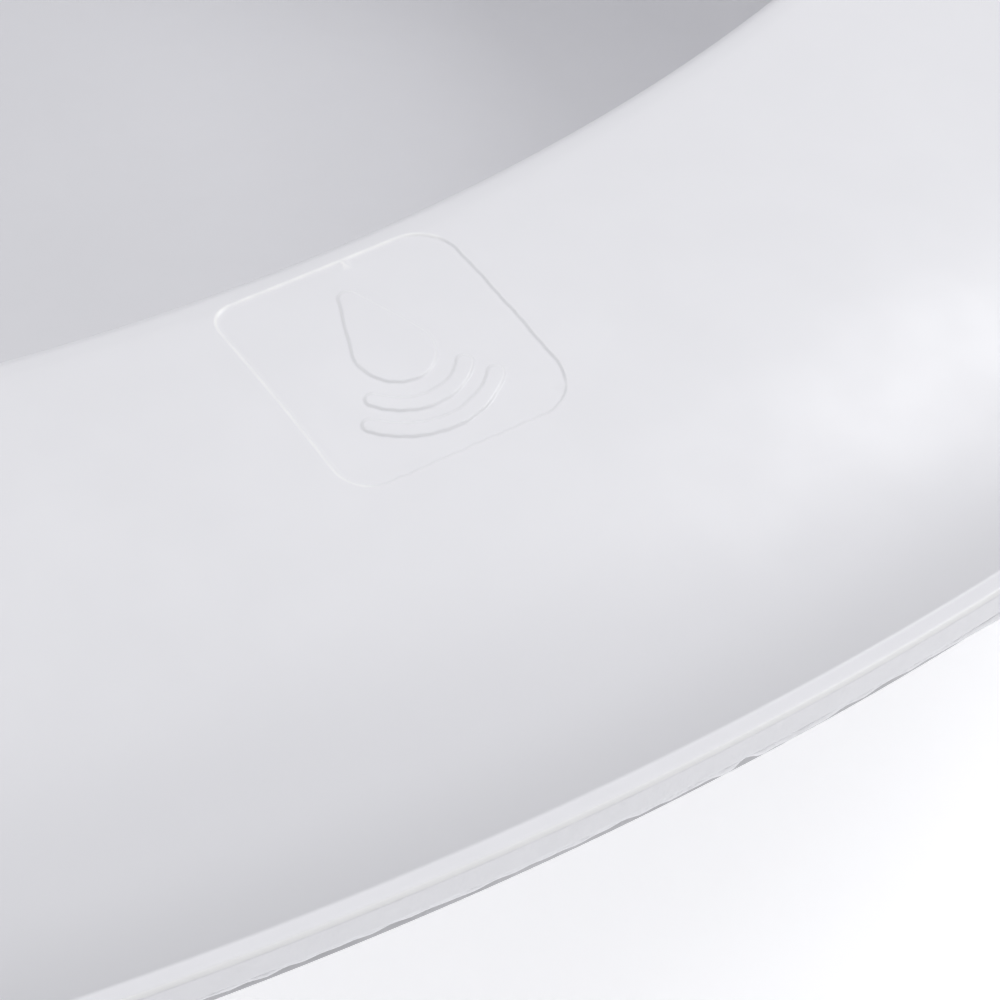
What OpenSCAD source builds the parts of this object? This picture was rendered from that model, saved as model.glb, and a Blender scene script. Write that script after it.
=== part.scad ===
/* [Seat] */
// Length of the seat over its flange, without the grip
seat_length = 408; // [370:2:500]
// Width of the seat over its flange
seat_width = 294; // [270:2:360]
// How much squarer than an ellipse the seat's outline is
seat_squareness = 2.5; // [0:0.5:4]
// How much blunter the back of the outline is than its front
seat_egg = 3; // [0:0.5:4]

/* [Opening] */
// Length of the opening in the seat
opening_length = 262; // [210:2:280]
// Width of the opening in the seat
opening_width = 195; // [180:1:210]
// How much squarer than an ellipse the opening is
opening_squareness = -0.3; // [-0.5:0.1:1]
// How much blunter the back of the opening is than its front
opening_egg = 2; // [0:0.5:4]
// How far the opening sits ahead of the seat's middle
opening_shift = 8; // [0:1:16]

/* [Rim] */
// Wall thickness of both shells
wall = 2.2; // [1.6:0.1:2.8]
// Radius of the rounding round the opening
lip_radius = 4; // [3.2:0.2:6]
// Length of the straight skirt below that rounding
skirt_depth = 12; // [6:1:20]
// Height of the rim's crest over the top of the flange
crest_height = 14.2; // [10:0.2:20]
// Slope of the rim where it leaves the rounding, in degrees
crown_slope = 5; // [2:0.5:8]
// Breadth of the hollow where the rim runs out into the flange
foot_run = 1.4; // [1:0.1:4]

/* [Weld flange] */
// Flat breadth of the upper flange outside the rim
flange_width = 1.3; // [1:0.1:4]
// Thickness of the seat shell's flange
upper_flange = 2.5; // [1.6:0.1:3.2]
// Thickness of the bowl shell's flange
lower_flange = 1.7; // [1.2:0.1:3]
// Breadth of the welded faces
weld_width = 5.6; // [5:0.1:8]
// How far the bowl shell's edge stands back under the seat shell's edge
flange_step = 0.6; // [0.4:0.1:1.2]
// Rounding of the flange edges
edge_round = 0.4; // [0.2:0.1:0.6]
// Height of the weld bead under the seat shell's flange
bead_height = 0.7; // [0.4:0.1:1.1]
// How far the weld bead stays back from the seat shell's edge
bead_setback = 0.1; // [0.05:0.05:0.3]

/* [Bowl] */
// Height of the weld plane over the floor, at the middle of the seat
flange_level = 54; // [46:1:75]
// Slope of the weld plane, rising to the grip, in degrees
seat_tilt = 4.5; // [0:0.5:6]
// Length of the bowl's base between its corners
base_length = 268; // [230:2:274]
// Width of the bowl's base between its corners
base_width = 160; // [140:2:180]
// How much squarer than an ellipse the base is
base_squareness = 1.4; // [0.5:0.1:2]
// How far the base sits ahead of the seat's middle
base_shift = 6; // [0:1:12]
// How far the rounding at the base's corner reaches under the bowl
base_round = 16; // [10:1:22]

/* [Foot] */
// Height of the foot ring
foot_height = 2.4; // [1.5:0.1:4]
// Breadth of the foot ring
foot_width = 5; // [3:0.5:8]

/* [Grip] */
// How far the grip's flange reaches in front of the seat
grip_reach = 70; // [60:2:90]
// Width of the grip's hollow body
grip_width = 44; // [34:1:50]
// Height of the grip's upper half over the weld plane
grip_rise = 10; // [8:0.5:12]
// Depth of the grip's lower half under the weld plane
grip_drop = 9; // [7:0.5:11]
// How the grip's section falls away to its edges: 1 is half an ellipse, 2 is a parabola
grip_roundness = 1.5; // [1:0.1:2]
// Breadth of the flange round the grip
grip_flange = 4.6; // [4:0.2:7]
// How much the grip's flange widens on each side at its root
grip_flare = 18; // [8:1:20]

/* [Hidden] */

columns = 96;          // sections round the pan
crown_steps = 9;       // steps across the rim
wall_steps = 9;        // steps down the bowl's wall
grip_arc = 14;         // steps over the grip's half section
grip_steps = 9;        // steps along the grip's straight stretch, and round its end
step_angle = 360 / columns;
crest = upper_flange + crest_height;       // highest line of the rim over the weld plane
floor_under = foot_height;                 // underside of the bowl's floor
embed = 0.5;                               // how far joined solids run into each other
root_sink = 0.3;                           // how far the grip's flange starts inside the pan's
grip_thinner = 0.1;                        // how much thinner the lower flange is round the grip
foot_inset = 1.5;                          // from the edge of the bowl's flat floor to the foot ring

// An outline is the list of the cosine terms of its support function
function outline(length, width, squareness, egg, shift) =
    [(length + width) / 4 + squareness, shift, (length - width) / 4, egg, -squareness];
function support(shape, a) =
    shape[0] + shape[1] * cos(a) + shape[2] * cos(2 * a) + shape[3] * cos(3 * a) + shape[4] * cos(4 * a);
function support_rate(shape, a) =
    -shape[1] * sin(a) - 2 * shape[2] * sin(2 * a) - 3 * shape[3] * sin(3 * a) - 4 * shape[4] * sin(4 * a);
// The point of an outline whose outward normal has the direction a, moved out by grow
function plan(shape, a, grow = 0) =
    (support(shape, a) + grow) * [cos(a), sin(a)] + support_rate(shape, a) * [-sin(a), cos(a)];

seat_shape = outline(seat_length, seat_width, seat_squareness, seat_egg, 0);
opening_shape = outline(opening_length, opening_width, opening_squareness, opening_egg, opening_shift);
base_shape = outline(base_length, base_width, base_squareness, 0, base_shift);

seat_front = plan(seat_shape, 0)[0];
seat_back = plan(seat_shape, 180)[0];
grip_tip = seat_front + grip_reach;

// The weld plane leans up to the grip: a place on it and a height over it, as a point over the floor
function lean(place, height) =
    [place[0] * cos(seat_tilt) - height * sin(seat_tilt), place[1],
     flange_level + place[0] * sin(seat_tilt) + height * cos(seat_tilt)];
// The model's origin is under the middle of its box
box_front = lean([grip_tip, 0], 0)[0];
box_back = lean([seat_back, 0], upper_flange - edge_round)[0];
middle_x = (box_front + box_back) / 2;

// ---- rim section: [distance out from the opening, height over the weld plane, slope angle]
function lip_point(turn) =
    [lip_radius * (1 - cos(turn)), crest - lip_radius * (1 - sin(turn)), turn - 90];
function crown_start() = lip_radius * (1 + sin(crown_slope));
function crown_run(breadth) = breadth - flange_width - foot_run - crown_start();
function crown_fall() = crest_height - lip_radius * (1 - cos(crown_slope));
// Slope at the outer end of the crown, set so that the hollow foot runs out level
function crown_end_slope(breadth) =
    let (run = crown_run(breadth))
    (3 * crown_fall() / run - 2 * tan(crown_slope)) / (1 + 1.5 * foot_run / run);
function crown_point(breadth, t) =
    let (run = crown_run(breadth),
         first = tan(crown_slope),
         last = crown_end_slope(breadth),
         bend = (last - first) / 3)
    [crown_start() + run * t,
     crest - lip_radius * (1 - cos(crown_slope)) - run * (first * t + bend * t * t * t),
     atan(first + 3 * bend * t * t)];
function foot_point(breadth, t) =
    let (rest = foot_run * (1 - t), last = crown_end_slope(breadth))
    [breadth - flange_width - rest, upper_flange + last * rest * rest / foot_run / 2];
function inside(p, depth) = [p[0] - depth * sin(p[2]), p[1] - depth * cos(p[2])];
function flat(p) = [p[0], p[1]];

function rim_section(breadth) =
    let (skirt_end = crest - lip_radius - skirt_depth)
    concat(
        [[edge_round, skirt_end - edge_round], [0, skirt_end]],
        [for (turn = [0 : 19 : 90 + crown_slope]) flat(lip_point(turn))],
        [for (i = [0 : crown_steps]) flat(crown_point(breadth, i / crown_steps))],
        [for (i = [1 : 3]) foot_point(breadth, i / 3)],
        [[breadth - edge_round, upper_flange],
         [breadth - edge_round * 0.3, upper_flange - edge_round * 0.3],
         [breadth, upper_flange - edge_round],
         [breadth, 0],
         [breadth - weld_width, 0]],
        [for (i = [crown_steps - 1 : -1 : 0]) inside(crown_point(breadth, i / crown_steps), wall)],
        [for (turn = [76 : -38 : 0]) inside(lip_point(turn), wall)],
        [[wall, skirt_end], [wall - edge_round, skirt_end - edge_round]]);

function seat_column(a) =
    let (mouth = plan(opening_shape, a), edge = plan(seat_shape, a),
         breadth = norm(edge - mouth), out = (edge - mouth) / breadth)
    [for (p = rim_section(breadth)) lean(mouth + out * p[0], p[1])];

// ---- bowl: its wall is one curve in space, from the weld flange to the bowl's floor
function curve_point(ends, t) =
    let (s = 1 - t) s * s * s * ends[0] + 3 * s * s * t * ends[1] + 3 * s * t * t * ends[2] + t * t * t * ends[3];
function curve_rate(ends, t) =
    let (s = 1 - t) s * s * (ends[1] - ends[0]) + 2 * s * t * (ends[2] - ends[1]) + t * t * (ends[3] - ends[2]);
function way_in(a) = let (way = plan(base_shape, a) - plan(seat_shape, a)) way / norm(way);
function wall_ends(a) =
    let (corner = plan(base_shape, a),
         first = lean(plan(seat_shape, a) + way_in(a) * (weld_width + 1), -lower_flange),
         low = [corner[0], corner[1], floor_under])
    [first, first + 0.5 * (low - first), low, low + base_round * [way_in(a)[0], way_in(a)[1], 0]];
// A point inside the wall, `depth` from its outer face and square to its curve
function wall_inside(ends, t, depth) =
    let (rate = curve_rate(ends, t), level_rate = norm([rate[0], rate[1]]),
         ahead = [rate[0], rate[1]] / level_rate)
    curve_point(ends, t) + depth / norm(rate) * [-rate[2] * ahead[0], -rate[2] * ahead[1], level_rate];

function bowl_column(a) =
    let (edge = plan(seat_shape, a), in = way_in(a), ends = wall_ends(a))
    concat(
        [for (i = [wall_steps : -1 : 0]) curve_point(ends, i / wall_steps)],
        [for (p = [[flange_step + edge_round, -lower_flange], [flange_step, edge_round - lower_flange],
                   [flange_step, 0]])
            lean(plan(seat_shape, a, -p[0]), p[1])],
        [lean(edge + in * weld_width, 0)],
        [for (i = [1 : wall_steps]) wall_inside(ends, i / wall_steps, wall)]);

// ---- grip: the flange runs out round it, and each shell carries half of its hollow body
grip_side = grip_width / 2 + grip_flange;
root_turn = lookup(grip_side + grip_flare, [for (a = [0 : 60]) [plan(seat_shape, a)[1], a]]);
end_centre = grip_tip - grip_side;
front_breadth = seat_front - plan(opening_shape, 0)[0];
// One side of the grip's outline on the weld plane, from the seat's edge to the tip
function grip_edge(grow, sink = 0) =
    let (root = plan(seat_shape, root_turn, grow - sink), along = [sin(root_turn), -cos(root_turn)],
         flare_end = [seat_front + grip_flare, grip_side + grow],
         ends = [root, root + along * grip_flare, flare_end - [grip_flare, 0], flare_end])
    concat(
        [for (i = [0 : grip_steps]) curve_point(ends, i / grip_steps)],
        [for (i = [0 : grip_steps]) let (turn = 90 - 90 * i / grip_steps)
            [end_centre + (grip_side + grow) * cos(turn), (grip_side + grow) * sin(turn)]]);
// The flange's whole outline on the weld plane: round the seat, out and round the grip
function flange_outline(grow) =
    let (edge = grip_edge(grow), turns = floor((180 - root_turn) / step_angle))
    concat(
        [for (i = [turns : -1 : -turns]) plan(seat_shape, 180 - i * step_angle, grow)],
        [for (p = edge) [p[0], -p[1]]],
        [for (i = [len(edge) - 2 : -1 : 0]) edge[i]]);
// ---- solids made of equal rows of points
// Rows follow each other round a ring; each row is a closed section
module ring_of(rows) {
    n = len(rows);
    m = len(rows[0]);
    polyhedron(
        points = [for (row = rows) each row],
        faces = [for (i = [0 : n - 1], j = [0 : m - 1], half = [0, 1])
            let (a = i * m + j, b = i * m + (j + 1) % m,
                 c = (i + 1) % n * m + (j + 1) % m, d = (i + 1) % n * m + j)
            half == 0 ? [a, c, b] : [a, d, c]]);
}

// Rows follow each other round a ring; both ends of every row are closed by a flat face
module dish_of(rows) {
    n = len(rows);
    m = len(rows[0]);
    polyhedron(
        points = [for (row = rows) each row],
        faces = concat(
            [for (i = [0 : n - 1], j = [0 : m - 2], half = [0, 1])
                let (a = i * m + j, b = i * m + j + 1,
                     c = (i + 1) % n * m + j + 1, d = (i + 1) % n * m + j)
                half == 0 ? [a, b, c] : [a, c, d]],
            [[for (i = [0 : n - 1]) i * m]],
            [[for (i = [n - 1 : -1 : 0]) i * m + m - 1]]));
}

// Rows follow each other along a bar; the first and the last are its ends
module bar_of(rows) {
    n = len(rows);
    m = len(rows[0]);
    polyhedron(
        points = [for (row = rows) each row],
        faces = concat(
            [for (i = [0 : n - 2], j = [0 : m - 1], half = [0, 1])
                let (a = i * m + j, b = i * m + (j + 1) % m,
                     c = (i + 1) * m + (j + 1) % m, d = (i + 1) * m + j)
                half == 0 ? [a, c, b] : [a, d, c]],
            [[for (j = [0 : m - 1]) j]],
            [[for (j = [m - 1 : -1 : 0]) (n - 1) * m + j]]));
}

// ---- grip solids, drawn on the weld plane laid flat
module grip_plate(thickness, grow) {
    edge = grip_edge(grow, root_sink);
    linear_extrude(thickness)
        polygon(concat(
            [for (i = [-grip_steps : grip_steps])
                plan(seat_shape, root_turn * i / grip_steps, -weld_width / 2)],
            edge,
            [for (i = [len(edge) - 2 : -1 : 0]) [edge[i][0], -edge[i][1]]]));
}

module grip_body(rise, inset) {
    half = grip_width / 2 - inset;
    height = rise - inset;
    end_turns = [for (i = [0 : grip_steps]) 84 * i / grip_steps];
    rows = [for (p = concat([[seat_front - front_breadth / 2, 1]],
                            [for (t = end_turns) [end_centre + half * sin(t), cos(t)]]))
        concat([for (j = [0 : grip_arc]) let (turn = 180 * j / grip_arc)
                    [p[0], half * p[1] * cos(turn), height * pow(p[1] * sin(turn), grip_roundness)]],
               inset == 0 ? [] : [[p[0], -half * p[1], -embed], [p[0], half * p[1], -embed]])];
    bar_of(rows);
}

module grip_shell(rise, thickness, grow) {
    difference() {
        union() {
            grip_plate(thickness, grow);
            grip_body(rise, 0);
        }
        grip_body(rise, wall);
    }
}

// Everything under the middle of the rim's wall, behind the grip
module rim_core() {
    bar_of([for (a = [-root_turn, -root_turn / 2, 0, root_turn / 2, root_turn])
        let (mouth = plan(opening_shape, a), edge = plan(seat_shape, a),
             breadth = norm(edge - mouth), out = (edge - mouth) / breadth)
        [for (p = concat(
                [[0, -wall], [0, crest]],
                [for (i = [0 : crown_steps]) inside(crown_point(breadth, i / crown_steps), wall / 2)],
                [[breadth - weld_width / 2, -wall]]))
            [each (mouth + out * p[0]), p[1]]]]);
}

module seat_shell() {
    color("white") translate([-middle_x, 0, 0]) {
        ring_of([for (i = [0 : columns - 1]) seat_column(i * step_angle)]);
        translate([0, 0, flange_level]) rotate([0, -seat_tilt, 0]) difference() {
            grip_shell(grip_rise, upper_flange, 0);
            rim_core();
        }
    }
}

module foot_ring() {
    inset = base_round + foot_inset;
    linear_extrude(foot_height + embed)
        difference() {
            polygon([for (i = [0 : columns - 1]) plan(base_shape, i * step_angle, -inset)]);
            polygon([for (i = [0 : columns - 1]) plan(base_shape, i * step_angle, -inset - foot_width)]);
        }
}

// Everything inside the middle of the bowl's wall, behind the grip
module bowl_core() {
    bar_of([for (a = [-root_turn, -root_turn / 2, 0, root_turn / 2, root_turn])
        let (ends = wall_ends(a))
        concat([for (i = [0 : wall_steps]) wall_inside(ends, i / wall_steps, wall / 2)],
               [lean([0, plan(seat_shape, a)[1]], wall),
                lean(plan(seat_shape, a) + way_in(a) * weld_width / 2, wall)])]);
}

module bowl_shell() {
    color("gainsboro") translate([-middle_x, 0, 0]) {
        dish_of([for (i = [0 : columns - 1]) bowl_column(i * step_angle)]);
        foot_ring();
        difference() {
            translate([0, 0, flange_level]) rotate([0, -seat_tilt, 0]) mirror([0, 0, 1])
                grip_shell(grip_drop, lower_flange - grip_thinner, -flange_step);
            bowl_core();
        }
    }
}

module weld_bead() {
    path = flange_outline(0);
    n = len(path);
    section = [[-bead_setback, 0], [-bead_setback, -bead_height * 0.6],
               [-(bead_setback + flange_step) / 2, -bead_height],
               [-flange_step, -bead_height], [-flange_step, 0]];
    color("lightsteelblue") translate([-middle_x, 0, 0])
        ring_of([for (i = [0 : n - 1])
            let (way = path[(i + 1) % n] - path[(i + n - 1) % n], out = [way[1], -way[0]] / norm(way))
            [for (p = section) lean(path[i] + out * p[0], p[1])]]);
}

seat_shell();
bowl_shell();
weld_bead();
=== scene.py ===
import math
import bmesh
import bpy
import numpy as np
from mathutils import Matrix, Vector, geometry


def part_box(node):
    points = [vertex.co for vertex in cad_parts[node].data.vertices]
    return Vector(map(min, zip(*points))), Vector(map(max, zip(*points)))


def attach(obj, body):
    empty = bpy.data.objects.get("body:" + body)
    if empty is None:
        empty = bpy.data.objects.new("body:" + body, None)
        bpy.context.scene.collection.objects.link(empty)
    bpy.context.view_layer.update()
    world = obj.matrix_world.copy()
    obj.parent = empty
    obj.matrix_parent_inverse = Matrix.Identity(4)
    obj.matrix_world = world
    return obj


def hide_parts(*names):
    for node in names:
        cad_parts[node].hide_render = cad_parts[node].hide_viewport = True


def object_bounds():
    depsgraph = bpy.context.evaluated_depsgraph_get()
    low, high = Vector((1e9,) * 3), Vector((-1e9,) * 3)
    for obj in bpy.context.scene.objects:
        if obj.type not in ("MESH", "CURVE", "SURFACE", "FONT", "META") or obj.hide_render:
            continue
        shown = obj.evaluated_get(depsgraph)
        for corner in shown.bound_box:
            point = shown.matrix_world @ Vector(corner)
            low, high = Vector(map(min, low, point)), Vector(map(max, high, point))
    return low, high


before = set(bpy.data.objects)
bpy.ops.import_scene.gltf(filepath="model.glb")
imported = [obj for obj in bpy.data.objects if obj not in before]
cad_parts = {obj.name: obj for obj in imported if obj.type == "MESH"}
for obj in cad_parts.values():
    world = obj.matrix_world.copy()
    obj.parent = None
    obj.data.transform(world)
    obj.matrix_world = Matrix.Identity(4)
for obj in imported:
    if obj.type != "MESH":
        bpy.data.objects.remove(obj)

mm = 0.001
cadLow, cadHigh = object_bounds()
seatLow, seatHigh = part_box("seat_shell")
rng = np.random.default_rng(11)

# sizes are in millimetres; a mesh turns into metres when it is made

pan = dict(
    tilt=4.5,             # how much the weld plane rises to the grip, degrees
    level=54.0,           # height of the weld plane over the floor, under the seat's middle
    wall=2.2,
    edgeRound=0.4,        # rounding of both flange edges
    columns=540,          # sections round the pan
)
slope = math.radians(pan["tilt"])


# an outline is the cosine terms of its support function, so its offsets stay true

def outlineTerms(length, width, squareness, egg, shift):
    return np.array([(length + width) / 4 + squareness, shift, (length - width) / 4, egg, -squareness])


def outlinePoints(terms, angles, grow=0.0):
    turns = np.multiply.outer(angles, np.arange(5))
    reach = np.cos(turns) @ terms + grow
    slide = -(np.sin(turns) * np.arange(5)) @ terms
    out = np.stack([np.cos(angles), np.sin(angles)], -1)
    along = np.stack([-np.sin(angles), np.cos(angles)], -1)
    return reach[..., None] * out + slide[..., None] * along


seat = dict(
    squareness=2.5,
    egg=3.0,              # how much blunter the back is than the front
    lipRadius=4.0,        # rounding round the opening
    skirtDepth=12.0,
    crestHeight=14.2,     # over the flange's top
    crownSlope=5.0,       # degrees, where the rim leaves the rounding
    footRun=0.35,         # hollow where the rim runs out into the flange
    flangeWidth=1.3,
    flangeThick=2.5,
    weldWidth=5.6,
)
opening = dict(length=262, width=195, squareness=-0.3, egg=2, shift=8)
base = dict(length=268, width=160, squareness=1.4, egg=0, shift=6)
grip = dict(
    reach=70.0,           # in front of the seat
    width=44.0,
    rise=10.0,            # upper half over the weld plane
    drop=9.0,             # lower half under it
    flange=4.6,
    flare=18.0,
    roundness=1.5,        # 1 is half an ellipse, 2 a parabola
    blend=2.6,            # softness where the body meets the flange
    blendUp=1.2,          # how much softer it gets up the rim
    fadeFrom=8.0,         # and where that starts, out from the opening
    fadeOver=30.0,
    fillReach=14.0,       # how far behind the seat's front its own points start
    fillStretch=1.3,      # how much farther apart they are along it
)
crest = seat["flangeThick"] + seat["crestHeight"]
tipRise = (seat["flangeThick"] - pan["edgeRound"]) * math.sin(slope)
seatLength = ((cadHigh.x - cadLow.x) / mm - tipRise) / math.cos(slope) - grip["reach"]
seatWidth = (seatHigh.y - seatLow.y) / mm
seatOutline = outlineTerms(seatLength, seatWidth, seat["squareness"], seat["egg"], 0)
openingOutline = outlineTerms(**opening)
baseOutline = outlineTerms(**base)
seatFront = outlinePoints(seatOutline, np.array(0.0))[0]
seatBack = outlinePoints(seatOutline, np.array(math.pi))[0]
middleX = ((seatFront + grip["reach"] + seatBack) * math.cos(slope) - tipRise) / 2


def lean(places, heights):
    # from the weld plane, laid flat, to where the pan stands
    heights = np.broadcast_to(heights, places.shape[:-1])
    return np.stack([
        places[..., 0] * math.cos(slope) - heights * math.sin(slope) - middleX,
        places[..., 1],
        pan["level"] + places[..., 0] * math.sin(slope) + heights * math.cos(slope)], -1)


def layFlat(points):
    # the way back: places on the weld plane, and heights over it
    x = points[..., 0] + middleX
    z = points[..., 2] - pan["level"]
    places = np.stack([x * math.cos(slope) + z * math.sin(slope), points[..., 1]], -1)
    return places, z * math.cos(slope) - x * math.sin(slope)


def unit(vectors):
    return vectors / np.linalg.norm(vectors, axis=-1, keepdims=True)


class Surface:
    # gathers sheets of points that meet exactly, and welds them when the piece is made
    def __init__(self):
        self.points = []
        self.paintedShine = []
        self.faces = []
        self.count = 0

    def add(self, points, faces, paintedShine=None):
        self.points.append(points.reshape(-1, 3))
        self.paintedShine.append(np.zeros(len(self.points[-1])) if paintedShine is None else paintedShine)
        self.faces += [[corner + self.count for corner in face] for face in faces]
        self.count += len(self.points[-1])

    def grid(self, points, closed=False, skip=None):
        rows, columns = points.shape[:2]
        faces = []
        for j in range(rows - 1):
            for i in range(columns if closed else columns - 1):
                if skip is not None and skip(j, i):
                    continue
                right = (i + 1) % columns
                faces.append((j * columns + i, j * columns + right,
                              (j + 1) * columns + right, (j + 1) * columns + i))
        self.add(points, faces)

    def piece(self, name, weld=2e-6):
        mesh = bpy.data.meshes.new(name)
        points = np.concatenate(self.points) * mm
        mesh.from_pydata(points.tolist(), [], self.faces)
        # each point's share of the painted highlight
        paintedHighlight = mesh.attributes.new("paintedShine", "FLOAT", "POINT")
        paintedHighlight.data.foreach_set("value", np.concatenate(self.paintedShine).astype(np.float32))
        work = bmesh.new()
        work.from_mesh(mesh)
        bmesh.ops.remove_doubles(work, verts=work.verts, dist=weld)
        loose = [vert for vert in work.verts if not vert.link_faces]
        bmesh.ops.delete(work, geom=loose, context="VERTS")
        bmesh.ops.recalc_face_normals(work, faces=work.faces)
        openEdges = sum(1 for edge in work.edges if len(edge.link_faces) != 2)
        for face in work.faces:
            face.smooth = True
        work.to_mesh(mesh)
        work.free()
        made = bpy.data.objects.new(name, mesh)
        bpy.context.scene.collection.objects.link(made)
        print(name, len(mesh.polygons), "faces,", openEdges, "open edges")
        return made


def insidePath(points, path):
    # even-odd test of points against a closed path
    x, y = points[:, 0], points[:, 1]
    count = np.zeros(len(points), int)
    for a, b in zip(path, np.roll(path, -1, axis=0)):
        spans = (a[1] > y) != (b[1] > y)
        rise = b[1] - a[1] if b[1] != a[1] else 1.0
        count += spans & (x < a[0] + (y - a[1]) / rise * (b[0] - a[0]))
    return count % 2 == 1


def fillPath(path, extra, margin):
    # triangles over the inside of a closed path, through the extra points that keep off its edge
    if len(extra):
        extra = extra[insidePath(extra, path)]
        gap = np.full(len(extra), 1e9)
        for a, b in zip(path, np.roll(path, -1, axis=0)):
            side = b - a
            t = np.clip(((extra - a) @ side) / max(side @ side, 1e-12), 0, 1)
            gap = np.minimum(gap, np.linalg.norm(extra - a - t[:, None] * side, axis=1))
        extra = extra[gap > margin]
    every = np.concatenate([path, extra]) if len(extra) else path
    edges = [(i, (i + 1) % len(path)) for i in range(len(path))]
    verts, _, faces, *_ = geometry.delaunay_2d_cdt([Vector(p) for p in every.tolist()], edges, [], 1, 1e-7)
    return np.array([tuple(v) for v in verts]), [tuple(face) for face in faces]


# the rim's section, out from the opening: a rounding, the crown, the hollow, the flange

crownAngle = math.radians(seat["crownSlope"])
crownStart = seat["lipRadius"] * (1 + math.sin(crownAngle))
crownTop = crest - seat["lipRadius"] * (1 - math.cos(crownAngle))
crownFall = crownTop - seat["flangeThick"]


def crownShape(breadth):
    run = breadth - seat["flangeWidth"] - seat["footRun"] - crownStart
    first = math.tan(crownAngle)
    last = (3 * crownFall / run - 2 * first) / (1 + 1.5 * seat["footRun"] / run)
    return run, first, last


def crownPoint(breadth, t):
    run, first, last = crownShape(breadth)
    bend = (last - first) / 3
    away = crownStart + run * t
    height = crownTop - run * (first * t + bend * t ** 3)
    return away, height, np.arctan(first + 3 * bend * t * t)


def footPoint(breadth, t):
    run, first, last = crownShape(breadth)
    rest = seat["footRun"] * (1 - t)
    height = seat["flangeThick"] + last * rest ** 2 / seat["footRun"] / 2
    return breadth - seat["flangeWidth"] - rest, height


def rimHeight(breadth, away):
    # height of the rim at a distance out from the opening
    run, _, _ = crownShape(breadth)
    radius = seat["lipRadius"]
    lip = crest - radius + np.sqrt(np.clip(radius ** 2 - (away - radius) ** 2, 0, None))
    crown = crownPoint(breadth, np.clip((away - crownStart) / run, 0, 1))[1]
    return np.where(away < crownStart, lip, crown)


def seatSection(angles):
    mouth = outlinePoints(openingOutline, angles)
    edge = outlinePoints(seatOutline, angles)
    breadth = np.linalg.norm(edge - mouth, axis=-1)
    return mouth, unit(edge - mouth), breadth


# the grip leaves the seat's front, with a flange of its own that flares into the pan's

gripSide = grip["width"] / 2 + grip["flange"]
endCentre = seatFront + grip["reach"] - gripSide
fine = np.radians(np.linspace(0, 60, 6001))
rootTurn = float(np.interp(gripSide + grip["flare"], outlinePoints(seatOutline, fine)[:, 1], fine))


def gripHeight(places, rise):
    beyond = np.clip(places[..., 0] - endCentre, 0, None)
    near = (places[..., 1] ** 2 + beyond ** 2) / (grip["width"] / 2) ** 2
    body = rise * np.clip(1 - near, 0, None) ** (grip["roundness"] / 2)
    return np.where(near < 1, body, rise * (1 - near))


def softMax(a, b, soft):
    return np.maximum(a, b) + np.clip(soft - np.abs(a - b), 0, None) ** 2 / (4 * soft)


def flangePath(grow, step=0.0):
    # the flange's outline, moved out by grow; with a step, points come that far apart
    angles = np.concatenate([mainAngles, [2 * math.pi - rootTurn]])
    seatPart = outlinePoints(seatOutline, angles)
    seatOut = np.stack([np.cos(angles), np.sin(angles)], -1)
    root = seatPart[0]
    along = np.array([math.sin(rootTurn), -math.cos(rootTurn)])
    flareEnd = np.array([seatFront + grip["flare"], gripSide])
    ends = [root, root + along * grip["flare"], flareEnd - [grip["flare"], 0], flareEnd]
    t = np.linspace(0, 1, 29)[1:, None]
    flare = ((1 - t) ** 3 * ends[0] + 3 * (1 - t) ** 2 * t * ends[1]
             + 3 * (1 - t) * t ** 2 * ends[2] + t ** 3 * ends[3])
    rate = ((1 - t) ** 2 * (ends[1] - ends[0]) + 2 * (1 - t) * t * (ends[2] - ends[1])
            + t ** 2 * (ends[3] - ends[2]))
    flareOut = unit(np.stack([-rate[:, 1], rate[:, 0]], -1))
    straightX = np.linspace(flareEnd[0], endCentre, 22)[1:]
    straight = np.stack([straightX, np.full(len(straightX), gripSide)], -1)
    turns = np.linspace(math.pi / 2, 0, 45)[1:]
    arcOut = np.stack([np.cos(turns), np.sin(turns)], -1)
    half = np.concatenate([flare, straight, [endCentre, 0] + arcOut * gripSide])
    halfOut = np.concatenate([flareOut, np.tile([0.0, 1.0], (len(straight), 1)), arcOut])
    mirror = np.array([1, -1])
    places = np.concatenate([seatPart, (half * mirror), half[-2::-1]])
    outs = np.concatenate([seatOut, (halfOut * mirror), halfOut[-2::-1]])
    if step:
        loop = np.concatenate([places, places[:1]])
        loopOut = np.concatenate([outs, outs[:1]])
        run = np.concatenate([[0], np.cumsum(np.linalg.norm(np.diff(loop, axis=0), axis=1))])
        at = np.arange(0, run[-1] - step / 2, step)
        places = np.stack([np.interp(at, run, loop[:, k]) for k in range(2)], -1)
        outs = unit(np.stack([np.interp(at, run, loopOut[:, k]) for k in range(2)], -1))
    return places + outs * np.broadcast_to(grow, len(places))[:, None]


# columns round the pan: an even fan over the grip's root, and the rest behind it
sectorCount = 48
mainCount = pan["columns"]
sectorAngles = np.linspace(-rootTurn, rootTurn, sectorCount + 1)[:-1]
mainAngles = np.linspace(rootTurn, 2 * math.pi - rootTurn, mainCount + 1)[:-1]
angles = np.concatenate([sectorAngles, mainAngles])
inSector = np.abs(angles) < rootTurn * 1.0001
pathMain = np.arange(mainCount + 1)        # the path's first points are the main columns and the far root


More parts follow.
